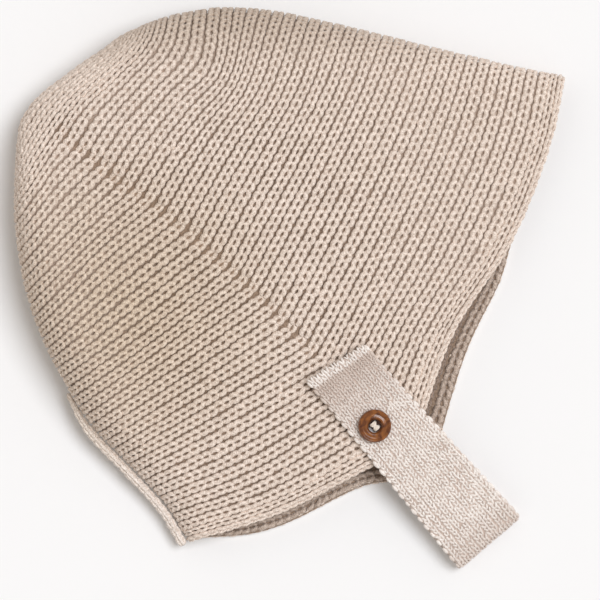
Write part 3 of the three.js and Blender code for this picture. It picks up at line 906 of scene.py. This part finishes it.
# Looped edge along both sides of the strap
edgeLoops = {"long": 1.5, "wide": 0.65, "thick": 0.85, "tilt": 0.075, "uneven": 0.14, "most": 1.5}
deselect()
bpy.ops.mesh.primitive_uv_sphere_add(segments=8, ring_count=6, radius=1)
editAll(bpy.ops.mesh.quads_convert_to_tris)
beadPoints, beadFaces = takeMesh()
chance = np.random.default_rng(seeds["edges"])
parts = []
for edge in (-1, 1):
    count = int(strapLength / strap["edgePitch"])
    starts = (np.arange(count) + 0.5) * strapLength / count
    uneven = np.clip(chance.standard_normal((count, 1)), -edgeLoops["most"], edgeLoops["most"])
    grow = 1 + edgeLoops["uneven"] * uneven
    y = beadPoints[None, :, 0] * edgeLoops["long"] * grow
    x = beadPoints[None, :, 1] * edgeLoops["wide"] * grow + edgeLoops["tilt"] * y
    z = beadPoints[None, :, 2] * edgeLoops["thick"] * grow
    parts.append(bendToStrap(beadFaces, starts, x, y, edge * strap["edgeSpan"], z, 1.0, chance))
points, faces, flow = joinLaid(parts)
edging = makeMesh("strap_edges", keepOffFloor(points), faces, flow)
finishPiece(edging, strapYarn, "chin_strap")
print("strap_edges", len(faces), "triangles")

# Seam down the back of the head: a rope of yarn with chain stitches over it
seam = {
    "lastRib": 17.4,
    "gap": 0.3,
    "halfWidth": 1.5,
    "halfHeight": 1.3,
    "linkPitch": 3.1,
    # directions of the chains round the rope, in degrees, and their width and height
    "chains": (55, -20, 125, -90),
    "narrow": 0.5,
    "lift": 0.15,
    # the seam thins out towards its upper end, over so many of its points
    "steps": 100,
    "thinSteps": 34,
    "thinnest": 0.38,
    "ropeSides": 8,
    "ropeUnder": (0.5, 0.4),
    "ropeEnd": 0.5,
    "ropeEndSteps": 8,
    "looseness": {"size": 0.06, "place": np.array([0.08, 0.15, 0.06]), "turn": 0.09},
}
seamRibs = np.linspace(0, seam["lastRib"], seam["steps"])
seamRows = readTable(ribRows, seamRibs)
seamHeights = readTable(heightRows, seamRibs)[:, 1]
foldLine = np.column_stack([seamRows[:, 1], seamRows[:, 2], seamHeights])
foldHeading = np.gradient(foldLine, axis=0)
foldOut = unit(np.column_stack([-foldHeading[:, 1], foldHeading[:, 0], 0 * seamHeights]))
seamThin = np.clip(seam["thinnest"] + np.arange(seam["steps"])[::-1] / seam["thinSteps"], 0, 1)[:, None]
seamOffset = wall["thickness"] / 2 + wall["relief"] + seam["gap"] + seam["halfWidth"] * seamThin
seamLine = foldLine + foldOut * seamOffset
seamUp = np.tile([0.0, 0.0, 1.0], (len(seamLine), 1))
parts = []
for lean in seam["chains"]:
    angle = math.radians(lean)
    out = foldOut * math.cos(angle) + seamUp * math.sin(angle)
    reach = math.hypot(seam["halfWidth"] * math.cos(angle), seam["halfHeight"] * math.sin(angle))
    path = steadyPath(seamLine + out * reach * seamThin, out, seam["narrow"] * seamThin[:, 0], False)
    parts.append(fillLine(
        path, nearStitch, seam["linkPitch"], seeds["seam"] + lean, seam["looseness"], seam["lift"]))
ropeSteps, ropeSides = seam["steps"], seam["ropeSides"]
ropeAngles = np.arange(ropeSides) * 2 * np.pi / ropeSides
taper = np.minimum(seamThin[:, 0], seam["ropeEnd"] + np.arange(ropeSteps) / seam["ropeEndSteps"])
ropeOut = np.cos(ropeAngles) * (seam["halfWidth"] - seam["ropeUnder"][0])
ropeUp = np.sin(ropeAngles) * (seam["halfHeight"] - seam["ropeUnder"][1])
rope = foldOut[:, None, :] * ropeOut[None, :, None] + seamUp[:, None, :] * ropeUp[None, :, None]
rope = seamLine[:, None, :] + rope * taper[:, None, None]
quads = tubeFaces(ropeSteps, ropeSides)
triangles = np.vstack([quads[:, [0, 2, 3]], quads[:, [0, 1, 2]]])
endStart = (ropeSteps - 1) * ropeSides
endCaps = []
for row in range(1, ropeSides - 1):
    endCaps.append([0, row, row + 1])
    endCaps.append([endStart, endStart + row + 1, endStart + row])
parts.append((rope.reshape(-1, 3), np.vstack([triangles, endCaps]), np.zeros((ropeSteps * ropeSides, 2))))
points, faces, flow = joinLaid(parts)
seamPiece = makeMesh("seam_chain", keepOffFloor(points), faces, flow)
finishPiece(seamPiece, seamYarn, "back_seam")
print("seam_chain", len(faces), "triangles")

# Button with a raised rim, a groove, a ring and a dished middle
button = {
    "x": 29.4,
    "y": -47.6,
    "radius": 5.85,
    "thickness": 2.4,
    "gap": 0.3,
    "holeRadius": 0.7,
    "holeOffset": 0.95,
    "holeFacets": 20,
    "facets": 64,
    "smoothUnder": math.radians(40),
    # the strap's slope is read over this distance to either side
    "reach": 3,
    # share of the radius and height in millimetres from the middle of its thickness
    "profile": [
        (0.55, -1.2), (0.86, -1.1), (0.965, -0.7), (1.0, -0.1), (0.985, 0.45), (0.93, 0.95), (0.87, 1.15),
        (0.81, 1.05), (0.765, 0.72), (0.72, 0.62), (0.66, 0.66), (0.60, 0.82), (0.53, 0.90), (0.475, 0.78),
        (0.44, 0.42), (0.40, 0.16), (0.25, 0.04),
    ],
}


def placeOnStrap(piece):
    # from a place round the origin, in millimetres, to the button's place on the strap
    along = (button["x"] - strap["startX"]) * math.cos(strap["heading"])
    along += (button["y"] - strap["startY"]) * math.sin(strap["heading"])
    heights = readTable(upperRun, along + button["reach"] * np.array([-1, 0, 1]))[:, 1]
    slope = math.atan2(heights[2] - heights[0], 2 * button["reach"])
    lift = strap["thickness"] / 2 + button["gap"] + button["thickness"] / 2
    workOn(piece)
    piece.scale = (millimetre,) * 3
    piece.rotation_euler = (0, -slope, strap["heading"])
    flat = -math.sin(slope)
    up = np.array([flat * math.cos(strap["heading"]), flat * math.sin(strap["heading"]), math.cos(slope)])
    piece.location = (np.array([button["x"], button["y"], heights[1]]) + up * lift) * millimetre
    bpy.ops.object.transform_apply(location=True, rotation=True, scale=True)


deselect()
profile = button["profile"]
bpy.ops.mesh.primitive_circle_add(vertices=button["facets"], radius=profile[0][0] * button["radius"],
                                  fill_type="NGON", location=(0, 0, profile[0][1]))
disc = bpy.context.object
disc.name = "button_disc"
bpy.ops.object.transform_apply(location=True)
bpy.ops.object.mode_set(mode="EDIT")
bpy.ops.mesh.select_all(action="SELECT")
for (share, height), (nextShare, nextHeight) in zip(profile, profile[1:]):
    grow = nextShare / share
    bpy.ops.mesh.extrude_region_move(TRANSFORM_OT_translate={"value": (0, 0, nextHeight - height)})
    bpy.ops.transform.resize(value=(grow, grow, 1), center_override=(0, 0, 0))
bpy.ops.object.mode_set(mode="OBJECT")
editAll(faceOutward)
holeRows = (-button["holeOffset"], button["holeOffset"])
for x, y in [(x, y) for x in holeRows for y in holeRows]:
    deselect()
    bpy.ops.mesh.primitive_cylinder_add(
        vertices=button["holeFacets"], radius=button["holeRadius"], depth=6, location=(x, y, 0))
    drill = bpy.context.object
    cut = disc.modifiers.new("hole", "BOOLEAN")
    cut.operation = "DIFFERENCE"
    cut.solver = "EXACT"
    cut.object = drill
    workOn(disc)
    bpy.ops.object.modifier_apply(modifier=cut.name)
    bpy.data.objects.remove(drill)
bpy.ops.object.shade_smooth_by_angle(angle=button["smoothUnder"])
placeOnStrap(disc)

buttonLook = {
    "light": (0.33, 0.115, 0.025),
    "dark": (0.085, 0.020, 0.006),
    # well: painted shade in the dished middle, with its colour, radius and soft edge
    "well": (0.16, 0.13, 0.12),
    "wellRadius": 2.35,
    "wellEdge": 0.25,
    "streaks": {"Scale": 260.0, "Detail": 4.0, "Distortion": 1.2},
    "streakTones": (0.35, 0.7),
    "scratchScale": 2600.0,
    "scratchStrength": 0.15,
    "scratchDepth": 0.03,
    "roughness": 0.17,
    "specular": 0.3,
    "coat": 0.35,
    "coatRoughness": 0.12,
}


def hornMaterial():
    # dark horn: drifting brown streaks under a polished surface with fine scratches
    look = Look("darkHorn")
    place = look.add("TexCoord", {}).outputs
    tones = zip(buttonLook["streakTones"], (buttonLook["dark"], buttonLook["light"]))
    colour = look.ramp(look.noise(place, buttonLook["streaks"]), list(tones))
    # painted shade: the dished middle round the thread is darker
    well = [(buttonLook["wellRadius"] + side * buttonLook["wellEdge"]) * millimetre for side in (1, -1)]
    wellShadeShare = look.reach(look.distance(place, discMiddle), *well)
    scratches = look.noise(place, {"Scale": buttonLook["scratchScale"]})
    look.fill(look.shader, {
        "Base Color": look.mix(wellShadeShare, colour, buttonLook["well"]),
        "Normal": look.bump(scratches, buttonLook["scratchStrength"], buttonLook["scratchDepth"]),
        "Roughness": buttonLook["roughness"],
        "Specular IOR Level": buttonLook["specular"],
        "Coat Weight": buttonLook["coat"],
        "Coat Roughness": buttonLook["coatRoughness"],
    })
    return look.material


discMiddle = np.mean([vertex.co for vertex in disc.data.vertices], axis=0)
finishPiece(disc, hornMaterial(), "button")
print("button_disc", len(disc.data.polygons), "faces")

# Thread of the button: strands down through the holes and two bars of stitches over the middle
# (a strand's place beside its hole's middle, and how far out it lies over the button's middle)
thread = {
    "strands": ((-0.24, 1.0), (0.24, 1.0), (0.0, 0.32)),
    "roundness": {"along": 5, "around": 2},
    "shankRadius": 1.1,
    "shankLength": 2.6,
    "shankBelow": 1.5,
    "shankFacets": 16,
}
half = button["thickness"] / 2
threadLines = []
for x in holeRows:
    for strand, inward in thread["strands"]:
        y = button["holeOffset"]
        middle = (x + 1.25 * strand) * inward
        threadLines.append([
            (x + strand, -y - 0.12, -half - 0.4, 0.24), (x + strand, -y, 0.1, 0.28),
            (middle, -y * 0.5, 0.66, 0.34), (middle, y * 0.5, 0.66, 0.34),
            (x + strand, y, 0.1, 0.28), (x + strand, y + 0.12, -half - 0.4, 0.24),
        ])
parts = []
for line in threadLines:
    points, faces = modelYarn(line, thread["roundness"])
    parts.append((points, faces, points[:, :2]))
deselect()
bpy.ops.mesh.primitive_cylinder_add(
    vertices=thread["shankFacets"], radius=thread["shankRadius"], depth=thread["shankLength"],
    location=(0, 0, -half - thread["shankBelow"]))
bpy.ops.object.transform_apply(location=True)
editAll(bpy.ops.mesh.quads_convert_to_tris)
shankPoints, shankFaces = takeMesh()
parts.append((shankPoints, shankFaces, shankPoints[:, :2]))
points, faces, flow = joinLaid(parts)
threads = makeMesh("button_stitches", points / millimetre, faces, flow)
placeOnStrap(threads)
finishPiece(threads, sewingThread, "button_thread")
print("button_stitches", len(faces), "triangles")

# Floor, light and camera
studio = {
    "cameraHeight": 2.2,
    "focusHeight": 0.012,
    "viewWidth": 0.210,
    "viewX": 0.0035,
    "viewY": -0.00385,
    "worldStrength": 0.51,
    "skyColour": (1.0, 0.945, 0.89),
    "sunStrength": 1.86,
    "sunColour": (0.975, 1.0, 1.045),
    "sunAngle": 32.0,
    "sunTurn": 68.0,
    "sunHeight": 66.0,
    "floor": (0.93, 0.93, 0.93),
    "floorSize": 6,
    "floorRoughness": 0.9,
    "sensor": 36,
}
deselect()
bpy.ops.mesh.primitive_plane_add(size=studio["floorSize"], location=(0, 0, 0))
floor = bpy.context.object
floor.name = "floor"
paleFloor = Look("paleFloor")
paleFloor.fill(paleFloor.shader, {
    "Base Color": (*studio["floor"], 1), "Roughness": studio["floorRoughness"],
})
floor.data.materials.append(paleFloor.material)

world = bpy.context.scene.world or bpy.data.worlds.new("World")
bpy.context.scene.world = world
world.use_nodes = True
sky = world.node_tree.nodes["Background"]
sky.inputs["Color"].default_value = (*studio["skyColour"], 1)
sky.inputs["Strength"].default_value = studio["worldStrength"]

sunData = bpy.data.lights.new("windowLight", "SUN")
sunData.energy = studio["sunStrength"]
sunData.angle = math.radians(studio["sunAngle"])
sunData.color = studio["sunColour"]
sun = bpy.data.objects.new("windowLight", sunData)
bpy.context.scene.collection.objects.link(sun)
# the lamp shines from the right of the picture, and a little from its top
sun.rotation_euler = (math.radians(studio["sunHeight"] - 90), 0, math.radians(-studio["sunTurn"]))

cameraData = bpy.data.cameras.new("camera")
camera = bpy.data.objects.new("camera", cameraData)
bpy.context.scene.collection.objects.link(camera)
camera.location = (studio["viewX"], studio["viewY"], studio["cameraHeight"])
cameraData.sensor_width = studio["sensor"]
cameraData.lens = studio["sensor"] * (studio["cameraHeight"] - studio["focusHeight"]) / studio["viewWidth"]
cameraData.clip_end = 20
bpy.context.scene.camera = camera
bpy.context.scene.view_settings.view_transform = "Standard"
bpy.context.scene.view_settings.look = "None"
print("studio ready")
